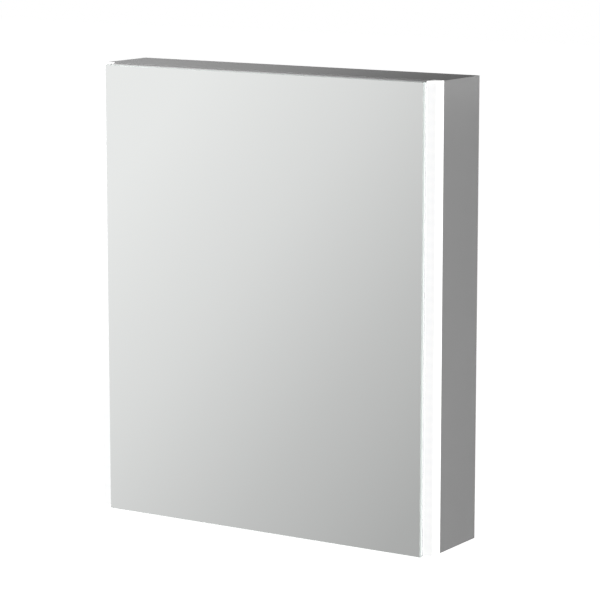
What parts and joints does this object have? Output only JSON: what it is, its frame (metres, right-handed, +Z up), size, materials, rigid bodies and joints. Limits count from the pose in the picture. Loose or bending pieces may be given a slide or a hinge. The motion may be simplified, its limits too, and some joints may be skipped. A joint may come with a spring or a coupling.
{
  "type": "mirror cabinet",
  "caption": "Wall-hung cabinet with a mirrored door between two vertical light strips, glass shelves, cup hinges and a hanging rail.",
  "frame": {"origin": "on the wall plane, midway between the two screw holes of the wall rail", "axes": "+X to the right seen from the front, +Y to the wall, +Z up"},
  "size_m": [0.6, 0.132, 0.7],
  "materials": {
    "carcass": "satin grey lacquer",
    "back_board": "satin grey lacquer",
    "mirror": "silvered glass",
    "core": "satin grey lacquer",
    "opal": "opal, lit from inside",
    "profile": "satin anodised",
    "led_board": "white solder mask",
    "shelf_glass": "clear, polished edges",
    "steel": "nickel plated",
    "zinc": "bright zinc",
    "rail": "zinc coated sheet",
    "white_plastic": "moulded",
    "white_sheet": "powder coated",
    "rubber": "soft",
    "terminal": "moulded",
    "switch": "moulded",
    "buffer": "clear soft plastic"
  },
  "bodies": {
    "cabinet": {"side_panel_left": "carcass", "side_panel_right": "carcass", "top_panel": "carcass", "bottom_panel": "carcass", "back_panel": "back_board", "shelf_lower": "shelf_glass", "shelf_upper": "shelf_glass", "shelf_supports": "steel", "light_profile_left": "profile", "light_profile_right": "profile", "led_board_left": "led_board", "led_board_right": "led_board", "diffuser_left": "opal", "diffuser_right": "opal", "strip_caps": "opal", "wall_rail": "rail", "hanger_left": "white_plastic", "hanger_right": "white_plastic", "hanger_hooks": "rail", "hanger_screws": "zinc", "hanger_covers": "white_plastic", "wall_spacers": "white_plastic", "driver_cover": "white_sheet", "cover_screws": "zinc", "led_driver": "white_plastic", "terminal_block": "terminal", "cable_grommet": "rubber", "switch_frame": "switch", "hinge_plate_low": "steel", "hinge_plate_mid": "steel", "hinge_plate_high": "steel", "hinge_arm_low": "steel", "hinge_arm_mid": "steel", "hinge_arm_high": "steel", "plate_screws": "zinc", "arm_screws": "zinc", "arm_pins": "zinc"},
    "outer_links": {"long_link_low": "steel", "long_link_mid": "steel", "long_link_high": "steel"},
    "door": {"front_mirror": "mirror", "door_core": "core", "rear_mirror": "mirror", "door_buffers": "buffer", "hinge_cup_low": "steel", "hinge_cup_mid": "steel", "hinge_cup_high": "steel", "cup_pins": "zinc", "cup_screws": "zinc"},
    "inner_links": {"short_links_low": "steel", "short_links_mid": "steel", "short_links_high": "steel"},
    "rocker": {"switch_rocker": "switch"}
  },
  "joints": [
    {"name": "outer_link_swing", "type": "hinge", "parent": "cabinet", "child": "outer_links", "pos_m": [-0.2505, -0.0833, -0.288], "axis": [0, 0, -1], "range_deg": [-47.5, 0]},
    {"name": "door_swing", "type": "hinge", "parent": "outer_links", "child": "door", "pos_m": [-0.2739, -0.11, -0.288], "axis": [0, 0, -1], "range_deg": [0, 142.5]},
    {"name": "inner_link_swing", "type": "hinge", "parent": "cabinet", "child": "inner_links", "pos_m": [-0.2575, -0.1052, -0.288], "axis": [0, 0, -1], "range_deg": [-84, 0]},
    {"name": "light_switch", "type": "hinge", "parent": "cabinet", "child": "rocker", "pos_m": [0.23, -0.072, 0.0245], "axis": [-1, 0, 0], "range_deg": [0, 16]}
  ],
  "couplings": [
    {"joint": "outer_link_swing", "follows": "door_swing", "ratio": -0.33333},
    {"joint": "inner_link_swing", "follows": "door_swing", "ratio": -0.5885}
  ]
}
